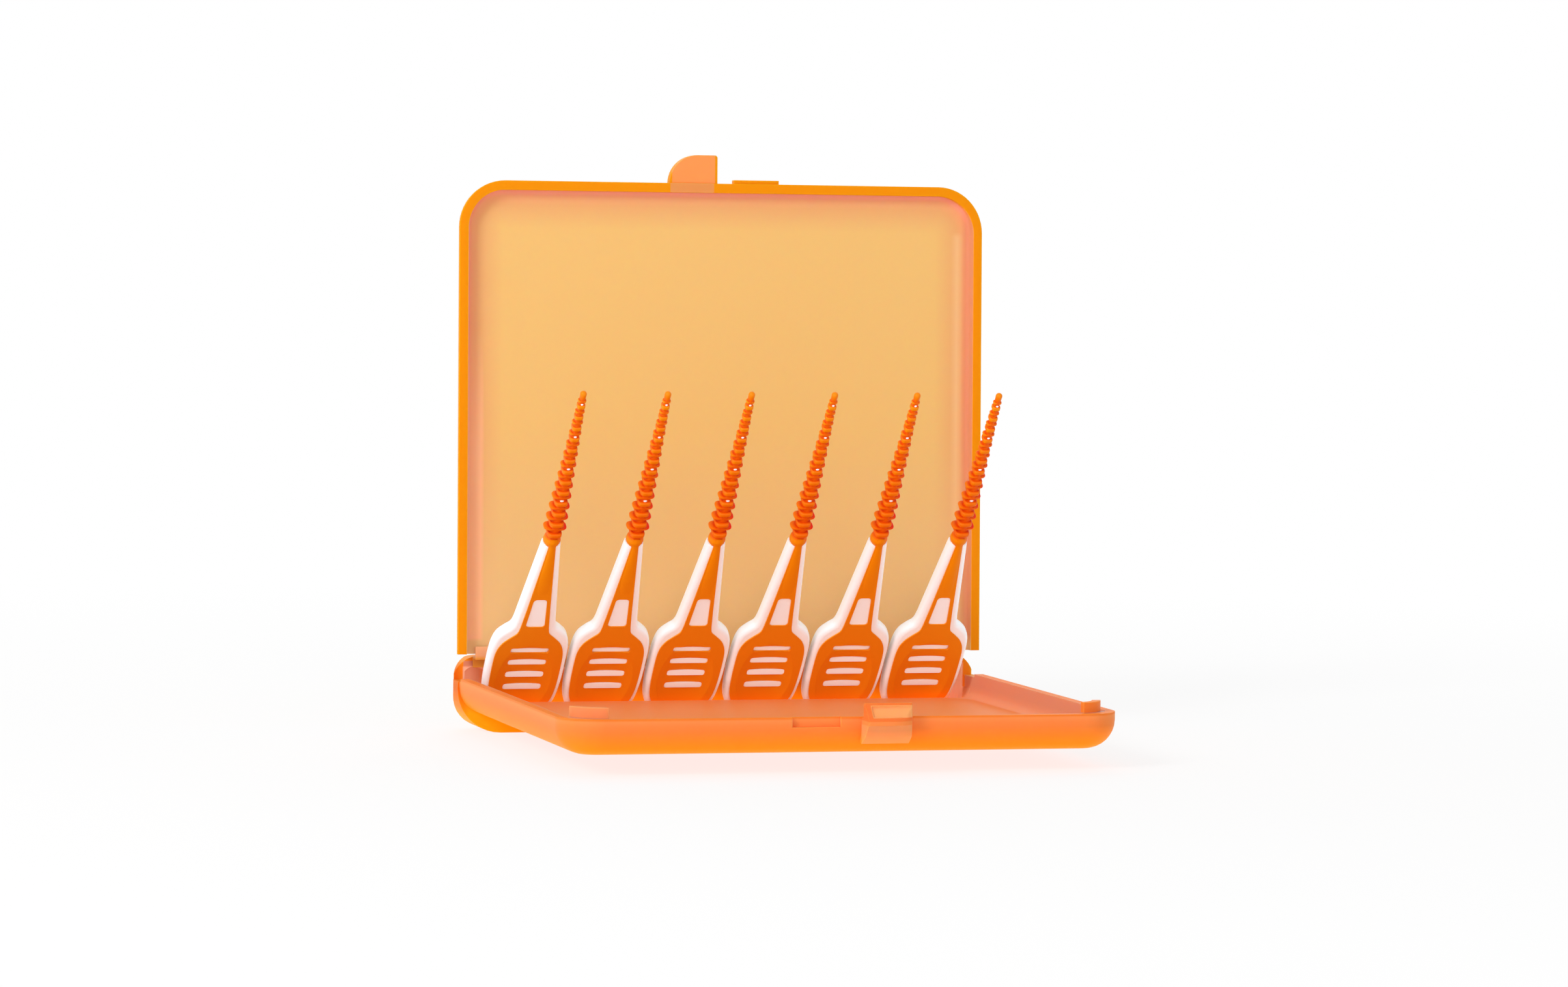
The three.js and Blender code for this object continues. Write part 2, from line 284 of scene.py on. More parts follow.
def wellMask(tree, place, low, high, corner, soft):  # the same, with its upright edges rounded
    middle = [(a + b) / 2 * mm for a, b in zip(low, high)]
    half = [((b - a) / 2 - corner) * mm for a, b in zip(low[:2], high[:2])]
    moved = vectorMath(tree, "MULTIPLY", vectorMath(tree, "SUBTRACT", place, middle), (1, 1, 0))
    folded = vectorMath(tree, "ABSOLUTE", moved, None)
    over = vectorMath(tree, "MAXIMUM", vectorMath(tree, "SUBTRACT", folded, (*half, 0)), (0, 0, 0))
    plan = mapRange(tree, vectorMath(tree, "LENGTH", over, None), (corner + soft) * mm, corner * mm)
    layer = boxMask(tree, place, (-beyondAll, -beyondAll, low[2]), (beyondAll, beyondAll, high[2]), soft)
    return product(tree, plan, layer)


def tint(tree, share, first, colour):  # first colour, with a plain one laid over it by share
    node = tree.nodes.new("ShaderNodeMix")
    node.data_type = "RGBA"
    tree.links.new(share, node.inputs["Factor"])
    tree.links.new(first, node.inputs["A"])
    node.inputs["B"].default_value = colour
    return node.outputs["Result"]


def patched(tree, place, colour, patches):  # plain tones laid over boxes of a piece
    for tone, low, high, soft in patches:
        colour = tint(tree, boxMask(tree, place, low, high, soft), colour, tone)
    return colour


def closeness(tree, reach, own):  # falls from 1 where other faces stand within reach
    node = tree.nodes.new("ShaderNodeAmbientOcclusion")
    node.samples = 8
    node.only_local = own
    node.inputs["Distance"].default_value = reach * mm
    return node.outputs["AO"]


plastic = {"roughness": 0.45, "specular": 0.05, "radius": (1.0, 0.6, 0.25), "scatter": 0.0012}


def translucentPlastic(shader, weight):  # weight is the share of light that enters the plastic
    shader.inputs["Roughness"].default_value = plastic["roughness"]
    shader.inputs["Specular IOR Level"].default_value = plastic["specular"]
    shader.inputs["Subsurface Weight"].default_value = weight
    shader.inputs["Subsurface Radius"].default_value = plastic["radius"]
    shader.inputs["Subsurface Scale"].default_value = plastic["scatter"]


lidLook = {
    "grain": (0.0003, 0.06),  # size and strength
    "weight": 0.6,
    "edge": 6.0,  # width of the band of painted shade that deepens towards the rim
    "half": 35.0,
    "top": 70.5,
    "tones": [(0, fromByte(236, 196, 122)), (0.5, fromByte(232, 178, 118)),
              (0.68, fromByte(238, 176, 126)), (0.8, fromByte(248, 164, 142))],  # painted light through the thin panel, deepening to painted shade towards the wall; panel out to the wall
    # painted light and shade on the lid's sides
    "sides": [
        (fromByte(232, 193, 137), (-40.0, 20.0, 0.0), (40.0, 40.0, 13.0), 26.0),  # painted light on the foot of the panel, against the shade from the picks and tray
        (fromByte(250, 192, 146), (-33.3, 20.0, 12.0), (-31.8, 29.6, 65.0), 0.5),  # painted light on the left wall
        (fromByte(226, 152, 112), (33.7, 20.0, 12.0), (40.0, 40.0, 67.5), 1.2),  # painted shade on the right wall, against the lamp on the left
        (fromByte(238, 196, 138), (32.0, 20.0, 12.0), (32.1, 40.0, 64.0), 0.8),  # painted highlight along the fillet beside it
    ],
    "rim": fromByte(238, 150, 6),
    "rimShare": (0.803, 0.812),  # where on that band the rim starts
    "tab": [
        (fromByte(246, 158, 88), (-6.9, 20.0, 70.7), (-1.3, 29.65, 74.4), 0.12),
        (fromByte(228, 152, 86), (-7.2, 20.0, 69.3), (-1.5, 29.35, 70.7), 0.12),  # its root in the rim
    ],
}


def lidPlastic():
    material, tree, shader = newMaterial("lidPlastic")
    place = grain(tree, shader, *lidLook["grain"])[0]
    edge = lidLook["edge"] * mm
    flat = vectorMath(tree, "MULTIPLY", place, (1, 0, 1))
    folded = vectorMath(tree, "ABSOLUTE", flat, None)
    corner = (lidLook["half"] * mm - edge, 0, lidLook["top"] * mm - edge)
    beyond = vectorMath(tree, "SUBTRACT", folded, corner)
    outside = vectorMath(tree, "MAXIMUM", beyond, (0, 0, 0))
    # painted light and shade on the lid: pale where the panel lets light through, deeper towards the
    # walls, then painted patches on its sides
    share = mapRange(tree, vectorMath(tree, "LENGTH", outside, None), 0, edge)
    colour = patched(tree, place, ramp(tree, share, lidLook["tones"]), lidLook["sides"])
    colour = tint(tree, mapRange(tree, share, *lidLook["rimShare"]), colour, lidLook["rim"])
    colour = patched(tree, place, colour, lidLook["tab"])
    tree.links.new(colour, shader.inputs["Base Color"])
    translucentPlastic(shader, lidLook["weight"])
    return material


baseLook = {
    "grain": (0.0003, 0.12),
    "weight": 0.6,
    "low": 2.4,
    "high": 7.0,
    "glow": fromByte(255, 146, 0),  # light carried into the low edges
    "glowTop": 5.5,
    "glowLevel": 0.5,
    "outside": [(0, fromByte(250, 140, 8)), (0.2, fromByte(249, 132, 26)),
                (0.5, fromByte(249, 134, 50)), (0.8, fromByte(250, 140, 70)),
                (0.93, fromByte(250, 148, 80)), (0.97, fromByte(242, 126, 46))],  # painted by height: a glowing saturated tone at the low edges and painted shade on the rim's top face; from low to high
    # painted light: a lighter, yellower tone over the pocket, then painted shade on its left end
    "pocket": [
        (fromByte(248, 148, 30), (-40.0, 27.0, -1.0), (40.0, 40.0, 12.0), 1.0),
        (fromByte(230, 112, 18), (-40.0, 26.5, -1.0), (-34.6, 40.0, 12.0), 1.0),  # painted shade on its left end, against the lamp on the left
    ],
    # painted light: the tray's inside is paler than the same plastic outside, raised against the shade in
    # it
    "inside": fromByte(220, 148, 118),
    "insideBox": ((-33.88, -29.68, 3.7), (33.88, 32.7, 8.9)),
    "insideCorner": 4.0,
    "insideSoft": 0.06,
    "insideDim": 2.0,  # the tray's inside loses one part in this many of the glow
    # painted shade: a deeper tone on the tray's floor than on its inner walls
    "floor": fromByte(218, 130, 84),
    "floorBox": ((-32.9, -28.8, 3.65), (32.9, 27.0, 4.2)),
    "floorSoft": 0.3,
    # painted light in the pocket's well, lifting the shadow in it
    "well": fromByte(236, 178, 150),
    "wellBox": ((-33.9, 27.6, 2.6), (33.9, 32.6, 8.1)),
    "sumpBox": ((-28.5, 27.5, 0.9), (28.5, 30.8, 2.7)),  # the lowest part of the well
    "sumpCorner": 1.0,
    "wellSoft": 0.2,
    "wellGlow": fromByte(240, 178, 138),  # light through the pocket's back
    "wellLevel": 0.16,
    "fittings": [
        (fromByte(240, 146, 92), (-33.9, -29.4, 7.05), (-28.5, -25.5, 9.0), 0.1),  # left lug
        (fromByte(255, 138, 56), (29.0, -29.4, 7.05), (33.9, -25.0, 9.0), 0.1),  # right lug
        (fromByte(246, 122, 56), (1.5, -34.5, 6.7), (8.2, -30.9, 9.0), 0.1),  # tab
        (fromByte(248, 158, 96), (1.5, -34.5, 3.6), (8.2, -31.0, 6.1), 0.1),  # under the tab's nose
        (fromByte(254, 170, 104), (2.2, -34.5, 7.12), (7.8, -31.4, 8.42), 0.1),  # scoop, with painted light on it
    ],
}


def basePlastic():
    material, tree, shader = newMaterial("basePlastic")
    place = grain(tree, shader, *baseLook["grain"])[0]
    height = axis(tree, place, "Z")
    # painted light and shade by height, then the pocket's painted tones
    share = mapRange(tree, height, baseLook["low"] * mm, baseLook["high"] * mm)
    colour = patched(tree, place, ramp(tree, share, baseLook["outside"]), baseLook["pocket"])
    corner = baseLook["insideCorner"]
    # painted light: a paler tone over the tray's inside
    inside = wellMask(tree, place, *baseLook["insideBox"], corner, baseLook["insideSoft"])
    colour = tint(tree, inside, colour, baseLook["inside"])
    # painted shade: a deeper tone on the tray's floor
    floor = wellMask(tree, place, *baseLook["floorBox"], corner, baseLook["floorSoft"])
    colour = tint(tree, floor, colour, baseLook["floor"])
    # painted light in the pocket's well and its lowest part
    well = wellMask(tree, place, *baseLook["wellBox"], corner, baseLook["wellSoft"])
    sump = wellMask(tree, place, *baseLook["sumpBox"], baseLook["sumpCorner"], baseLook["wellSoft"])
    well = joined(tree, "MAXIMUM", well, sump)
    colour = tint(tree, well, colour, baseLook["well"])
    colour = patched(tree, place, colour, baseLook["fittings"])
    tree.links.new(colour, shader.inputs["Base Color"])
    translucentPlastic(shader, baseLook["weight"])
    # painted glow: the low edges and the well give off light of their own, standing in for light carried
    # through the plastic
    glow = mapRange(tree, height, baseLook["glowTop"] * mm, baseLook["low"] * mm)
    glow = product(tree, glow, mapRange(tree, inside, baseLook["insideDim"], 0))
    glow = scaled(tree, product(tree, glow, mapRange(tree, well, 1, 0)), baseLook["glowLevel"])
    glow = joined(tree, "ADD", glow, scaled(tree, well, baseLook["wellLevel"]))
    glowTone = ramp(tree, well, [(0, baseLook["glow"]), (1, baseLook["wellGlow"])])
    tree.links.new(glowTone, shader.inputs["Emission Color"])
    tree.links.new(glow, shader.inputs["Emission Strength"])
    return material


filmLook = {
    "grain": (0.0003, 0.05),
    "weight": 0.4,
    "low": 8.1,
    "high": 10.9,
    "tones": [(0, fromByte(226, 150, 60)), (0.45, fromByte(228, 152, 66)),
              (0.6, fromByte(238, 166, 120)), (1, fromByte(240, 170, 126))],  # pocket up to the lid
}


def filmPlastic():
    material, tree, shader = newMaterial("filmPlastic")
    place = grain(tree, shader, *filmLook["grain"])[0]
    share = mapRange(tree, axis(tree, place, "Z"), filmLook["low"] * mm, filmLook["high"] * mm)
    tree.links.new(ramp(tree, share, filmLook["tones"]), shader.inputs["Base Color"])
    translucentPlastic(shader, filmLook["weight"])
    return material


coreLook = {
    "grain": (0.0005, 0.03),
    "tones": [(0.3, fromByte(230, 240, 246)), (0.7, fromByte(236, 246, 252))],
    "roughness": 0.35,
    # painted light: the white core gives off a faint light of its own
    "glow": fromByte(255, 250, 248),
    "glowLevel": 0.24,
    "reach": 3.0,  # how far off other faces dim the painted glow into painted shade
    "opened": (0.25, 0.8),  # closed in to free
}


def corePlastic():
    material, tree, shader = newMaterial("corePlastic")
    speck = grain(tree, shader, *coreLook["grain"])[1]
    tree.links.new(ramp(tree, speck, coreLook["tones"]), shader.inputs["Base Color"])
    shader.inputs["Roughness"].default_value = coreLook["roughness"]
    # painted light: a faint glow of the core's own, dimmed to painted shade where other faces close in
    shader.inputs["Emission Color"].default_value = coreLook["glow"]
    opened = mapRange(tree, closeness(tree, coreLook["reach"], False), *coreLook["opened"])
    tree.links.new(scaled(tree, opened, coreLook["glowLevel"]), shader.inputs["Emission Strength"])
    return material


rubberLook = {
    "grain": (0.00018, 0.25),
    "roughness": 0.42,
    "specular": 0.15,
    "depth": "ribDepth",
    "depths": [(0, fromByte(245, 102, 0)), (0.4, fromByte(248, 124, 0)),
               (0.8, fromByte(250, 152, 2)), (1, fromByte(248, 151, 20))],  # painted shade in the grooves, painted light on the rims, then the panel
    "rims": (0.45, 0.8),  # how far the painted light on the rims goes along them, first rib and last
    "bulb": 0.7,
    "tip": 0.6,
    "flank": "ribFlankPaintedGlow",
    "glow": fromByte(255, 30, 0),  # painted red glow on the right flank, standing in for light through the rubber from the lamp on the left
    "glowShare": (1.0, 0.3),
    "glowFrom": 0.45,  # start of the red, as a share of the rib's reach
    "glowWidth": 0.4,
    "creaseShade": fromByte(216, 46, 0),  # painted shade where faces meet, a deeper tone
    "creaseReach": 0.5,
    "creaseRange": (0.97, 0.4),  # open to tight
}


def marked(tree, name):  # a value kept on the piece's own points
    node = tree.nodes.new("ShaderNodeAttribute")
    node.attribute_name = name
    return node.outputs["Fac"]


def softRubber():
    material, tree, shader = newMaterial("softRubber")
    grain(tree, shader, *rubberLook["grain"])
    # painted shade in the grooves and painted light on the rims, by the marked depth
    colour = ramp(tree, marked(tree, rubberLook["depth"]), rubberLook["depths"])
    # painted light: a red glow on each rib's right flank
    colour = tint(tree, marked(tree, rubberLook["flank"]), colour, rubberLook["glow"])
    # painted shade where faces meet
    creaseShade = closeness(tree, rubberLook["creaseReach"], True)
    tight = mapRange(tree, creaseShade, *rubberLook["creaseRange"])
    colour = tint(tree, tight, colour, rubberLook["creaseShade"])
    tree.links.new(colour, shader.inputs["Base Color"])
    shader.inputs["Roughness"].default_value = rubberLook["roughness"]
    shader.inputs["Specular IOR Level"].default_value = rubberLook["specular"]
    return material


finishes = {
    "lid": lidPlastic(),
    "base": basePlastic(),
    "film": filmPlastic(),
    "core": corePlastic(),
    "rubber": softRubber(),
}
print("finishes made:", ", ".join(finishes))


# base: tray and pocket in one moulding

case = {"half": 35.0, "wall": 1.2, "corner": 5.0, "lidCorner": 6.0, "soft": 0.16, "beyond": 40.0}
tray = {
    "front": -30.8, "bottom": 2.5, "floor": 3.8, "rim": 7.0, "wallEnd": 25.5,
    "nose": 3.5, "fillet": 1.0, "lip": 27.3, "sill": 6.6, "lidWay": 1.6, "overlap": 0.01,
}
pocket = {
    "half": 35.2, "face": 26.4, "top": 9.6, "rim": 30.2, "back": 34.0, "wall": 1.4, "ceiling": 8.2,
    "past": 1.0,  # how far its cutters run past it
    "outside": {"foot": 3.0, "head": 2.2, "low": 5.7, "high": 3.8, "plan": 5.6},
    "lining": {"foot": 2.2, "head": 1.2, "low": 4.3, "high": 1.6, "plan": 4.2},
}


def trayBlock(half, front, back, low, high, corner, nose):
    bm = boxShape((-half, front, low), (half, back, high))
    roundEdges(bm, corner, facets["corner"], uprightsAt(front))
    roundEdges(bm, nose, facets["nose"], loopAt(low, back))
    return bm


def trayForm(inset):  # outside of the tray, drawn in by an inset
    return trayBlock(case["half"] - inset, tray["front"] + inset, tray["lip"] + case["wall"],
                     tray["bottom"] + inset, tray["rim"], case["corner"] - inset, tray["nose"] - inset)


def pocketBlock(half, front, back, low, high, radii):  # rounded in side view, front view and plan
    past = pocket["past"]
    piece = toObject("pocketBlock", boxShape((-half, front, low), (half, back, high)))
    side = boxShape((-half - past, front, low), (half + past, back, high))
    roundEdges(side, radii["foot"], facets["nose"], alongX(back, low))
    roundEdges(side, radii["head"], facets["nose"], alongX(back, high))
    ends = boxShape((-half, front - past, low), (half, back + past, high))
    roundEdges(ends, radii["low"], facets["end"], alongY(low))
    roundEdges(ends, radii["high"], facets["end"], alongY(high))
    plan = boxShape((-half, front - past, low - past), (half, back, high + past))
    roundEdges(plan, radii["plan"], facets["corner"], uprightsAt(back))
    for form in (side, ends, plan):
        combine(piece, form, "INTERSECT")
    return toShape(piece)


def makeBase():
    half, wall, far = case["half"], case["wall"], case["beyond"]
    inner = half - wall
    base = toObject("caseBase", trayForm(0))
    step = boxShape((-far, tray["wallEnd"], tray["sill"]), (far, far, far))
    combine(base, step, "DIFFERENCE")
    shell = toObject("pocketShell", pocketBlock(pocket["half"], pocket["face"], pocket["back"],
                                                0, pocket["top"], pocket["outside"]))
    ledge = boxShape((-far, 0, tray["sill"]), (far, pocket["rim"], far))
    combine(shell, ledge, "DIFFERENCE")
    combine(base, toShape(shell), "UNION")
    hollow = trayBlock(inner, tray["front"] + wall, tray["lip"], tray["floor"], far,
                       case["corner"] - wall, tray["fillet"])
    combine(base, hollow, "DIFFERENCE")
    overlap = tray["overlap"]  # cuts run a little into one another
    lidWay = boxShape((-inner, tray["lip"] - overlap, tray["sill"] - tray["lidWay"]),
                      (inner, pocket["rim"], far))
    combine(base, lidWay, "DIFFERENCE")
    well = pocketBlock(pocket["half"] - pocket["wall"], tray["lip"] - 2 * overlap,
                       pocket["back"] - wall, wall, pocket["ceiling"], pocket["lining"])
    combine(base, well, "DIFFERENCE")
    return base


# thumb tab, slot and lugs of the base

baseTab = {
    "left": 1.5, "width": 5.9, "arc": 3.2, "lip": 1.3, "soft": 0.3, "softAngle": 35,
    "side": [(-0.5, 3.9), (0.1, 3.75), (1.7, 4.7), (2.85, 6.0), (3.2, 6.2), (3.2, 6.75), (2.45, 7.45),
             (1.3, 8.75), (0.8, 8.6), (0.8, 6.9), (-0.5, 6.9)],  # (ahead of the tray, height)
    "scoop": {"left": 2.2, "right": 7.6, "ahead": 2.2, "height": 7.77, "tilt": 42.0,
              "size": (0.6, 1.75), "round": 0.2},
    "end": 0.1,  # share of the reach that is left at the right end
    "steps": 12,
}
tabRoot = 0.5  # how far both thumb tabs run into their walls
frontSlot = {"left": -7.1, "right": -1.0, "floor": 5.8, "depth": 0.6, "ahead": 1.0, "top": 10.0}
lugs = {
    "places": [(-34.0, -29.2, -26.0), (30.1, 34.0, -25.7)],  # left, right and back of each
    "inset": 1.5, "thick": 1.1, "top": 8.25, "soft": 0.3, "play": 0.15, "sink": 0.2, "below": 0.05,
    "cover": 0.5, "room": 20.0,
}


def quarterTurn(steps):
    return [math.pi / 2 * k / steps for k in range(steps + 1)]


def quarterOutline(width, reach, soft, steps):  # straight side at x 0, arc at the far side
    arc = [(width - reach + reach * math.cos(a), reach * math.sin(a)) for a in quarterTurn(steps)]
    corner = [(soft - soft * math.sin(a), reach - soft + soft * math.cos(a))
              for a in quarterTurn(facets["fillet"])]
    return [(0, -tabRoot), (width, -tabRoot), *arc, *corner]


def makeBaseTab():  # side view carried across, drawn back along an arc at the right
    right = baseTab["left"] + baseTab["width"]
    start = right - baseTab["arc"]
    turns = quarterTurn(baseTab["steps"])[:-1]
    stations = [(start + baseTab["arc"] * math.sin(a), math.cos(a)) for a in turns]
    stations.append((right, baseTab["end"]))
    lipLine = tray["front"] - baseTab["lip"]
    bm = bmesh.new()
    first = face = bm.faces.new([bm.verts.new((baseTab["left"], tray["front"] - ahead, height))
                                 for ahead, height in baseTab["side"]])
    before = 1.0
    for x, share in stations:
        made = bmesh.ops.extrude_face_region(bm, geom=[face])["geom"]
        if face != first:
            bm.faces.remove(face)  # so that no wall is left inside
        face = next(part for part in made if isinstance(part, bmesh.types.BMFace))
        for v in face.verts:
            v.co.x = x
            if v.co.y < lipLine:
                v.co.y = lipLine + (v.co.y - lipLine) * share / before
        before = share
    bmesh.ops.recalc_face_normals(bm, faces=bm.faces)
    tab = toObject("baseTab", bm)
    scoop = baseTab["scoop"]
    deep, tall = scoop["size"]
    cut = boxShape((scoop["left"], -deep / 2, -tall / 2), (scoop["right"], deep / 2, tall / 2))
    roundEdges(cut, scoop["round"], 3, lambda a, b: True)
    tilt = Matrix.Rotation(math.radians(-scoop["tilt"]), 3, "X")
    bmesh.ops.rotate(cut, matrix=tilt, verts=cut.verts)
    middle = (0, tray["front"] - scoop["ahead"], scoop["height"])
    bmesh.ops.translate(cut, vec=middle, verts=cut.verts)
    combine(tab, cut, "DIFFERENCE")
    softenEdges(tab, baseTab["soft"], 3, baseTab["softAngle"])
    return toShape(tab)


def lidInside(inset):  # the room under the closed lid, drawn in by an inset
    half = case["half"] - inset
    front = tray["front"] + inset
    bm = boxShape((-half, front, 0), (half, 0, lugs["room"]))
    return roundEdges(bm, case["lidCorner"] - inset, facets["lug"], uprightsAt(front))


def makeLug(left, right, back):  # thin wall that follows the corner
    root, play = tray["floor"] - lugs["sink"], lugs["play"]
    lug = toObject("lug", boxShape((left, tray["front"], root), (right, back, lugs["top"])))
    combine(lug, lidInside(lugs["inset"]), "INTERSECT")
    foot = toObject("lugFoot", boxShape((left + play, tray["front"] + case["wall"] / 2, root),
                                        (right - play, back - play, tray["rim"] - lugs["below"])))
    combine(foot, trayForm(lugs["cover"]), "INTERSECT")
    combine(lug, lidInside(lugs["inset"] + lugs["thick"]), "DIFFERENCE")
    softenEdges(lug, lugs["soft"], 3)
    combine(lug, toShape(foot), "UNION")
    combine(lug, lidInside(lugs["inset"] + lugs["thick"]), "DIFFERENCE")
    return toShape(lug)


caseBase = makeBase()
slotFront, slotBack = tray["front"] - frontSlot["ahead"], tray["front"] + frontSlot["depth"]
slotCut = boxShape((frontSlot["left"], slotFront, frontSlot["floor"]),
                   (frontSlot["right"], slotBack, frontSlot["top"]))
combine(caseBase, slotCut, "DIFFERENCE")
for lugPlace in lugs["places"]:
    combine(caseBase, makeLug(*lugPlace), "UNION")
combine(caseBase, makeBaseTab(), "UNION")
softenEdges(caseBase, case["soft"], 2)
placePiece(caseBase, Matrix(), finishes["base"], "base", "case_plastic", "base")
print("base:", len(caseBase.data.polygons), "faces")


# lid, drawn with its hinge along the origin and its rim facing up

lid = {
    "length": 60.65, "depth": 2.58, "panel": 1.1, "nose": 2.2, "fillet": 0.6, "soft": 0.18,
    "spare": 6.0,  # drawn past the hinge, then cut off
    "tabRight": -0.9, "tabWidth": 6.4, "tabReach": 3.7, "tabLow": 1.0, "tabHigh": 2.3,
    "tabSoft": 0.35, "tabSink": 0.05, "tabSteps": 12,
    "ridge": (1.4, 7.4), "ridgeProud": 0.5, "ridgeRoot": 0.9, "ridgeLow": 0.9, "ridgeHigh": 2.1,
}
lidUpright = math.radians(joints["lid_hinge"]["range_deg"][1])
hingeLine = Vector(joints["lid_hinge"]["pos_m"]) / mm
lidPlace = Matrix.Translation(hingeLine) @ Matrix.Rotation(math.pi - lidUpright, 4, "X")


def makeLid():
    half, wall, far, spare = case["half"], case["wall"], case["beyond"], lid["spare"]
    inner, inside, corner = half - wall, lid["length"] - wall, facets["corner"]
    shell = boxShape((-half, -spare, 0), (half, lid["length"], lid["depth"]))
    roundEdges(shell, case["lidCorner"], corner, uprightsAt(lid["length"]))
    roundEdges(shell, lid["nose"], facets["nose"], loopAt(0, -spare))
    piece = toObject("caseLid", shell)
    hollow = boxShape((-inner, -spare + wall, lid["panel"]), (inner, inside, far))
    roundEdges(hollow, case["lidCorner"] - wall, corner, uprightsAt(inside))
    roundEdges(hollow, lid["fillet"], facets["fillet"], loopAt(lid["panel"], -spare + wall))
    combine(piece, hollow, "DIFFERENCE")
    combine(piece, boxShape((-far, -far, -far), (far, 0, far)), "DIFFERENCE")
    outline = quarterOutline(lid["tabWidth"], lid["tabReach"], lid["tabSoft"], lid["tabSteps"])
    plan = [(lid["tabRight"] - x, lid["length"] - lid["tabSink"] + y) for x, y in outline]
    combine(piece, outlineShape(plan, lid["tabLow"], lid["tabHigh"]), "UNION")
    ridge = boxShape((lid["ridge"][0], lid["length"] - lid["ridgeRoot"], lid["ridgeLow"]),
                     (lid["ridge"][1], lid["length"] + lid["ridgeProud"], lid["ridgeHigh"]))
    combine(piece, ridge, "UNION")
    softenEdges(piece, lid["soft"], 3)
    return piece


caseLid = makeLid()
placePiece(caseLid, lidPlace, finishes["lid"], "lid", "case_plastic", "lid")
print("lid:", len(caseLid.data.polygons), "faces")


# film hinge, bent between the base and the lid

film = {
    "half": 32.5, "thick": 0.35, "front": 28.15, "back": 29.9, "fold": 9.55, "low": 8.1, "high": 10.9,
    "soft": 0.1,
}


def makeFilm():
    front, back, fold, thick = film["front"], film["back"], film["fold"], film["thick"]
    low, high = film["low"], film["high"]
    run = [(front, fold - thick), (back - thick, fold - thick), (back - thick, low), (back, low),
           (back, fold), (front + thick, fold), (front + thick, high), (front, high)]
    bm = outlineShape(run, -film["half"], film["half"])
    turn = Matrix(((0, 0, 1, 0), (1, 0, 0, 0), (0, 1, 0, 0), (0, 0, 0, 1)))
    bmesh.ops.transform(bm, matrix=turn, verts=bm.verts)
    bmesh.ops.recalc_face_normals(bm, faces=bm.faces)
    return toObject("filmStrip", bm)


filmStrip = makeFilm()
softenEdges(filmStrip, film["soft"], 2)
dress(filmStrip, Matrix(), finishes["film"])
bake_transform(filmStrip)
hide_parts("film_hinge")
print("film hinge:", len(filmStrip.data.polygons), "faces")


# picks, drawn along +Y with the panel facing +Z

core = {
    "edge": [(2.8, -18.2), (4.5, -16.0), (5.05, -12.8), (5.15, -9.0), (5.05, -5.8), (4.6, -4.0),
             (3.7, -2.9), (2.95, -2.2), (2.66, -1.0)],
    "neck": 1.15, "neckEnd": 12.1, "thick": 1.8, "round": 0.62, "sink": 0.2,
    "stem": {"radii": (0.42, 0.14), "length": 14.0, "middle": 18.0, "sides": 16},
}
bars = {"rows": [-6.2, -8.4, -10.6, -12.8], "half": 2.5, "high": 0.9, "top": -0.12, "soft": 0.3}
panel = {
    "edge": [(2.5, -17.0), (3.9, -15.3), (4.4, -12.8), (4.5, -8.7), (4.35, -6.4), (3.8, -5.0),
             (2.9, -4.0), (2.1, -3.2), (1.85, -2.2)],
    "strip": [(1.55, 0.5), (0.45, 11.8), (0.45, 13.2)],
    "back": -0.6, "front": 0.16, "soft": 0.1, "softAngle": 40,
    "clear": 2.0,  # cuts through the panel run from below it to above it by this
    "ridge": {"low": 2.95, "high": 12.4, "radii": (1.28, 0.42), "rise": (0.11, 0.62),
              "sides": 48, "cuts": 10},
    "window": [(-0.85, 2.8), (0.85, 2.8), (1.25, -2.0), (-1.25, -2.0)],
    "windowSoft": 0.45, "windowTop": 0.02,
}
dish = {"centre": -11.4, "half": 3.75, "long": 6.3, "deep": 0.42, "ball": 1.2, "sides": 48, "rows": 32}
sleeve = {
    "axis": -0.8, "count": 13, "first": 14.64, "last": 35.7, "root": (0.84, 0.37), "sides": 64,
    "tip": 37.3, "tipRadius": 0.42, "tipGap": 0.5, "tipSteps": 6, "blend": 0.03,
    "bulb": [(0, 11.5), (0.6, 11.6), (0.92, 11.9), (1.08, 12.3), (1.11, 12.6), (1.04, 12.95),
             (0.9, 13.25)],  # (radius, along)
    "wing": {
        "side": (1.47, 0.52), "front": (0.84, 0.4), "square": 3.2,
        "edge": [(0.86, 0.0), (0.97, 0.04), (1.0, 0.1), (1.0, 0.2), (0.97, 0.27), (0.9, 0.3)],
    },
    "lobe": {
        "side": (0.93, 0.46), "front": (1.23, 0.47), "square": 4.0,
        "edge": [(0.9, 0.83), (0.98, 0.87), (1.0, 0.94), (1.0, 1.22), (0.97, 1.3), (0.88, 1.36)],
    },  # edges are (share of the reach, rise above the rib)
}
pips = {
    "after": [2, 5, 8, 11], "along": 1.5, "wide": (0.34, 0.2), "tall": 0.2, "deep": 0.3, "proud": 0.06,
}
pickJoints = [joints[f"pick_{n}_tilt"] for n in range(1, 7)]
footPoint = Vector((0, -13.883, -0.604))  # the tilt's pivot, from the middle of the pick


def pickPlace(joint):
    lean = math.radians(90 - joint["range_deg"][1])
    turn = Matrix.Rotation(math.pi / 2 + lean, 4, "X")
    return Matrix.Translation(Vector(joint["pos_m"]) / mm) @ turn @ Matrix.Translation(-footPoint)


def panelOutline():
    return bothSides([*curveThrough(panel["edge"], facets["plate"]), *panel["strip"]])


def windowBlock(low, high):
    bm = outlineShape(panel["window"], low, high)
    return roundEdges(bm, panel["windowSoft"], facets["plate"], upright)


def barBlock(row, low, high):
    half, rise = bars["half"], bars["high"] / 2
    bm = boxShape((-half, row - rise, low), (half, row + rise, high))
    return roundEdges(bm, bars["soft"], facets["fillet"], upright)


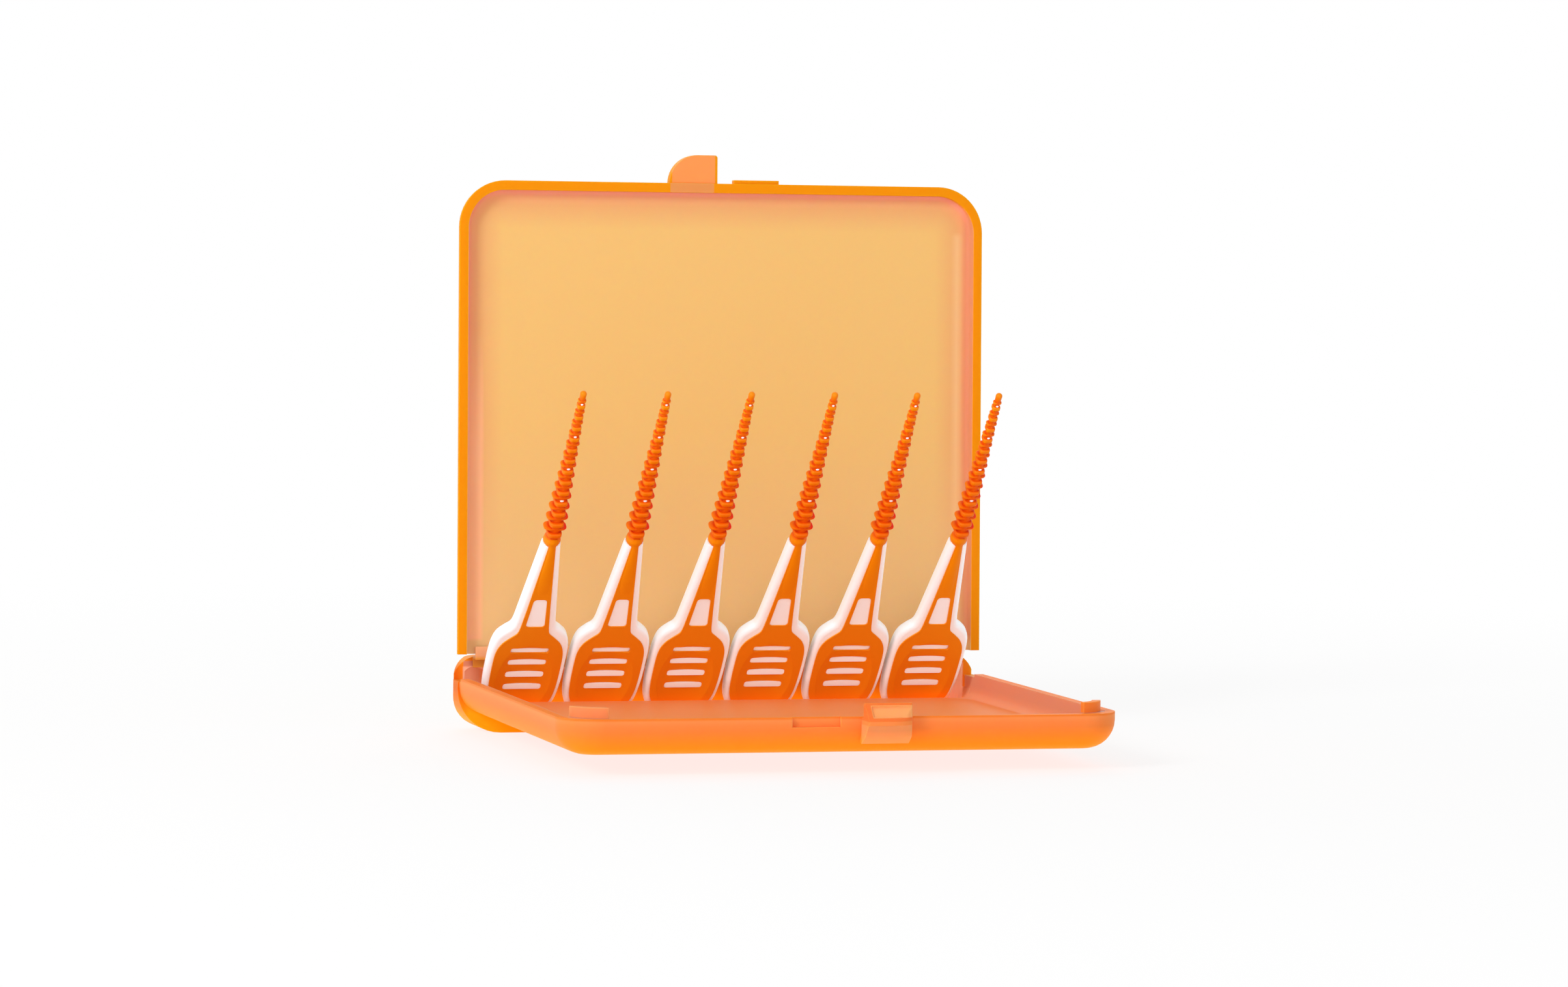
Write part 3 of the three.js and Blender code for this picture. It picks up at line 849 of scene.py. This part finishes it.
def taper(radii, length, sides):  # round bar along +Y
    bm = bmesh.new()
    bmesh.ops.create_cone(bm, cap_ends=True, segments=sides, radius1=radii[0], radius2=radii[1],
                          depth=length)
    bmesh.ops.rotate(bm, matrix=Matrix.Rotation(-math.pi / 2, 3, "X"), verts=bm.verts)
    return bm


def makeCore():  # plate with a bed for the panel, window boss, grip bars and stem
    run = curveThrough(core["edge"], facets["plate"])
    outline = bothSides([*run, (core["neck"], core["neckEnd"])])
    plate = outlineShape(outline, -core["thick"], 0)
    flats = (-core["thick"], 0)
    roundEdges(plate, core["round"], facets["plate"],
               lambda a, b: near(a.z, b.z) and any(near(a.z, flat) for flat in flats))
    piece = toObject("core", plate)
    combine(piece, outlineShape(panelOutline(), panel["back"], panel["clear"]), "DIFFERENCE")
    root = panel["back"] - core["sink"]
    combine(piece, windowBlock(root, panel["windowTop"]), "UNION")
    for row in bars["rows"]:
        combine(piece, barBlock(row, root, bars["top"]), "UNION")
    stem = taper(core["stem"]["radii"], core["stem"]["length"], core["stem"]["sides"])
    bmesh.ops.translate(stem, vec=(0, core["stem"]["middle"], sleeve["axis"]), verts=stem.verts)
    combine(piece, stem, "UNION")
    return piece


def makePanel():
    piece = toObject("panel", outlineShape(panelOutline(), panel["back"], panel["front"]))
    shrink = math.sqrt(1 - ((dish["ball"] - dish["deep"]) / dish["ball"]) ** 2)
    ball = bmesh.new()
    bmesh.ops.create_uvsphere(ball, u_segments=dish["sides"], v_segments=dish["rows"], radius=1)
    size = (dish["half"] / shrink, dish["long"] / shrink, dish["ball"])
    bmesh.ops.scale(ball, vec=size, verts=ball.verts)
    lift = panel["front"] - dish["deep"] + dish["ball"]
    bmesh.ops.translate(ball, vec=(0, dish["centre"], lift), verts=ball.verts)
    combine(piece, ball, "DIFFERENCE")
    clear = panel["clear"]
    combine(piece, windowBlock(-clear, clear), "DIFFERENCE")
    for row in bars["rows"]:
        combine(piece, barBlock(row, -clear, clear), "DIFFERENCE")
    softenEdges(piece, panel["soft"], 2, panel["softAngle"])
    combine(piece, makeRidge(), "UNION")
    return piece


def makeRidge():  # rounded back of the strip, level at the window and fuller towards the bulb
    ridge = panel["ridge"]
    length = ridge["high"] - ridge["low"]
    bm = taper(ridge["radii"], length, ridge["sides"])
    bmesh.ops.translate(bm, vec=(0, ridge["low"] + length / 2, 0), verts=bm.verts)
    sides = [e for e in bm.edges if not near(e.verts[0].co.y, e.verts[1].co.y)]
    bmesh.ops.subdivide_edges(bm, edges=sides, cuts=ridge["cuts"], use_grid_fill=True)
    for v in bm.verts:
        v.co.z *= between(ridge["rise"], (v.co.y - ridge["low"]) / length)
    return bm


def between(pair, share):
    return pair[0] + (pair[1] - pair[0]) * share


def ribRings(rib, kind):  # rings of one pair of wings or lobes as (along, root, sides, front, square)
    share = max(rib, 0) / (sleeve["count"] - 1)
    low = between((sleeve["first"], sleeve["last"]), rib / (sleeve["count"] - 1))
    form, root = sleeve[kind], between(sleeve["root"], share)
    side, front = between(form["side"], share), between(form["front"], share)
    rise = [form["edge"][0][1] - sleeve["blend"], form["edge"][-1][1] + sleeve["blend"]]
    rings = [(low + up, root, side * part, front * part, form["square"]) for part, up in form["edge"]]
    return [(low + rise[0], root, 0, 0, 0), *rings, (low + rise[1], root, 0, 0, 0)]


def sleeveRings():
    rings = [(along, radius, 0, 0, 0) for radius, along in sleeve["bulb"]]
    rings += ribRings(-1, "lobe")
    for rib in range(sleeve["count"]):
        rings += ribRings(rib, "wing")
        if rib < sleeve["count"] - 1:
            rings += ribRings(rib, "lobe")
    radius = sleeve["tipRadius"]
    for turn in quarterTurn(sleeve["tipSteps"])[:-1]:
        along = sleeve["tip"] - radius + radius * math.sin(turn)
        rings.append((along, radius * math.cos(turn), 0, 0, 0))
    return [*rings, (sleeve["tip"], 0, 0, 0, 0)]


def ringRadius(ring, angle):  # squared round that never falls inside the root
    root, side, front, square = ring[1:]
    if not square:
        return root
    reach = abs(math.cos(angle) / side) ** square + abs(math.sin(angle) / front) ** square
    return max(root, reach ** (-1 / square))


def makeSleeve():
    bm = bmesh.new()
    digits = 3  # rings are found again by their place to this many
    rings = {round(ring[0], digits): ring for ring in sleeveRings()}
    verts = [bm.verts.new((1 if ring[1] else 0, along, 0)) for along, ring in rings.items()]
    edges = [bm.edges.new(pair) for pair in zip(verts, verts[1:])]
    bmesh.ops.spin(bm, geom=verts + edges, cent=(0, 0, 0), axis=(0, 1, 0), dvec=(0, 0, 0),
                   angle=math.tau, steps=sleeve["sides"], use_merge=True)
    bmesh.ops.remove_doubles(bm, verts=bm.verts, dist=10 ** -digits)
    for v in bm.verts:
        radius = ringRadius(rings[round(v.co.y, digits)], math.atan2(v.co.z, v.co.x))
        v.co.x *= radius
        v.co.z *= radius
    bmesh.ops.recalc_face_normals(bm, faces=bm.faces)
    bmesh.ops.translate(bm, vec=(0, 0, sleeve["axis"]), verts=bm.verts)
    return bm


def limited(value):
    return min(max(value, 0), 1)


def markDepth(piece):  # tone along grooves, rims and panel, with painted shade in the grooves and painted light on the rims, and how strong the painted red glow on the right flank is
    depths = piece.data.attributes.new(rubberLook["depth"], "FLOAT", "POINT")
    flanks = piece.data.attributes.new(rubberLook["flank"], "FLOAT", "POINT")
    start, end = sleeve["first"], sleeve["last"]
    bulbLow, bulbHigh = sleeve["bulb"][0][1], sleeve["bulb"][-1][1]
    for v, depth, flank in zip(piece.data.vertices, depths.data, flanks.data):
        share = limited((v.co.y - start) / (end - start))
        wide, root = between(sleeve["wing"]["side"], share), between(sleeve["root"], share)
        proud = limited((math.hypot(v.co.x, v.co.z - sleeve["axis"]) - root) / (wide - root))
        depth.value = proud * between(rubberLook["rims"], share)
        if v.co.y < bulbHigh:
            depth.value = between((1, rubberLook["bulb"]), limited(v.co.y / bulbHigh))
        elif v.co.y > end + sleeve["tipGap"]:
            depth.value = rubberLook["tip"]
        # painted red glow, stronger towards the right flank
        if v.co.y > bulbLow:
            right = limited((v.co.x / wide - rubberLook["glowFrom"]) / rubberLook["glowWidth"])
            flank.value = right * between(rubberLook["glowShare"], share)


def makePips():  # where the core shows through the sleeve
    bm = bmesh.new()
    for rib in pips["after"]:
        share = rib / (sleeve["count"] - 1)
        along = between((sleeve["first"], sleeve["last"]), share) + pips["along"]
        root = between(sleeve["root"], share)
        size = Matrix.Diagonal((between(pips["wide"], share), pips["tall"], pips["deep"], 1))
        lift = sleeve["axis"] + root + pips["proud"] - pips["deep"]
        place = Matrix.Translation((0, along, lift)) @ size
        bmesh.ops.create_icosphere(bm, subdivisions=3, radius=1, matrix=place)
    return bm


corePattern = makeCore()
skinPattern = makePanel()
combine(skinPattern, makeSleeve(), "UNION")
markDepth(skinPattern)
pipPattern = toObject("pips", makePips())
for number, joint in enumerate(pickJoints, 1):
    body, place = f"pick_{number}", pickPlace(joint)
    for name, pattern, finish, slotName, nodes in (
        (f"pickCore{number}", corePattern, "core", "pick_core", [f"pick_{number}_core"]),
        (f"pickSkin{number}", skinPattern, "rubber", "pick_rubber", [f"pick_{number}_overmould"]),
        (f"pickPips{number}", pipPattern, "core", "pick_core", []),
    ):
        piece = bpy.data.objects.new(name, pattern.data.copy())
        scene.collection.objects.link(piece)
        placePiece(piece, place, finishes[finish], body, slotName, *nodes)
print("picks:", len(pickJoints), "with", len(skinPattern.data.polygons), "faces in each soft skin")
for pattern in (corePattern, skinPattern, pipPattern):
    bpy.data.objects.remove(pattern)


# camera, floor and light

view = {
    "place": (-0.18675, -0.65555, 0.06719), "yaw": 15.92, "down": 2.95, "roll": 0.842,
    "lens": 125.77, "sensor": 36.0,
}


def makeCamera():
    data = bpy.data.cameras.new("photoCamera")
    data.lens = view["lens"]
    data.sensor_width = view["sensor"]
    data.sensor_fit = "HORIZONTAL"
    camera = bpy.data.objects.new("photoCamera", data)
    scene.collection.objects.link(camera)
    turn = Matrix.Rotation(-math.radians(view["yaw"]), 4, "Z")
    tilt = Matrix.Rotation(math.pi / 2 - math.radians(view["down"]), 4, "X")
    roll = Matrix.Rotation(math.radians(view["roll"]), 4, "Z")
    camera.matrix_world = Matrix.Translation(view["place"]) @ turn @ tilt @ roll
    scene.camera = camera


def whiteShare(tree):  # 1 for the camera, for reflections and for light seen through a piece
    path = tree.nodes.new("ShaderNodeLightPath")
    total = path.outputs["Is Camera Ray"]
    for ray in ("Is Glossy Ray", "Is Transmission Ray"):
        total = joined(tree, "MAXIMUM", total, path.outputs[ray])
    return total


stage = {
    "floorRadius": 6.0, "floorTone": (0.95, 0.95, 0.95, 1), "floorRoughness": 0.9,
    "fade": {"From Min": 0.08, "From Max": 0.3, "To Min": 0.78, "To Max": 1.0},  # distance to white
    "roomLevel": 0.6,  # light from the room on the case
    "aim": (0, 0, 0.03),
}


def makeFloor():  # keeps the shadow near the case and turns plain white away from it
    bm = bmesh.new()
    bmesh.ops.create_circle(bm, cap_ends=True, segments=64, radius=stage["floorRadius"])
    floor = toObject("floor", bm)
    material, tree, shader = newMaterial("paleFloor")
    shader.inputs["Base Color"].default_value = stage["floorTone"]
    shader.inputs["Roughness"].default_value = stage["floorRoughness"]
    bright = tree.nodes.new("ShaderNodeEmission")
    mix = tree.nodes.new("ShaderNodeMixShader")
    place = tree.nodes.new("ShaderNodeTexCoord").outputs["Object"]
    far = tree.nodes.new("ShaderNodeMapRange")
    tree.links.new(vectorMath(tree, "LENGTH", place, None), far.inputs["Value"])
    for name, value in stage["fade"].items():
        far.inputs[name].default_value = value
    tree.links.new(product(tree, whiteShare(tree), far.outputs["Result"]), mix.inputs["Fac"])
    tree.links.new(shader.outputs["BSDF"], mix.inputs[1])
    tree.links.new(bright.outputs["Emission"], mix.inputs[2])
    tree.links.new(mix.outputs["Shader"], tree.nodes["Material Output"].inputs["Surface"])
    floor.data.materials.append(material)


def makeWorld():
    world = bpy.data.worlds.new("paleRoom")
    scene.world = world
    world.use_nodes = True
    tree = world.node_tree
    backing = tree.nodes["Background"]
    backing.inputs["Color"].default_value = (1, 1, 1, 1)
    level = tree.nodes.new("ShaderNodeMapRange")
    level.inputs["To Min"].default_value = stage["roomLevel"]
    level.inputs["To Max"].default_value = 1.0
    tree.links.new(whiteShare(tree), level.inputs["Value"])
    tree.links.new(level.outputs["Result"], backing.inputs["Strength"])


lamps = {
    "front": {"place": (-0.1, -0.8, 0.12), "size": 0.5, "power": 1.0},
    "key": {"place": (-0.6, -0.42, 0.4), "size": 0.25, "power": 3.0},
    "back": {"place": (0.1, 0.6, 0.5), "size": 0.6, "power": 1.3},
}


def makeLamp(name):
    lamp = lamps[name]
    data = bpy.data.lights.new(name, "AREA")
    data.size = lamp["size"]
    data.energy = lamp["power"]
    light = bpy.data.objects.new(name, data)
    scene.collection.objects.link(light)
    light.location = lamp["place"]
    aim = Vector(stage["aim"]) - Vector(lamp["place"])
    light.rotation_euler = aim.to_track_quat("-Z", "Y").to_euler()


makeCamera()
makeFloor()
makeWorld()
for lampName in lamps:
    makeLamp(lampName)
scene.view_settings.view_transform = "Standard"
print("stage set")
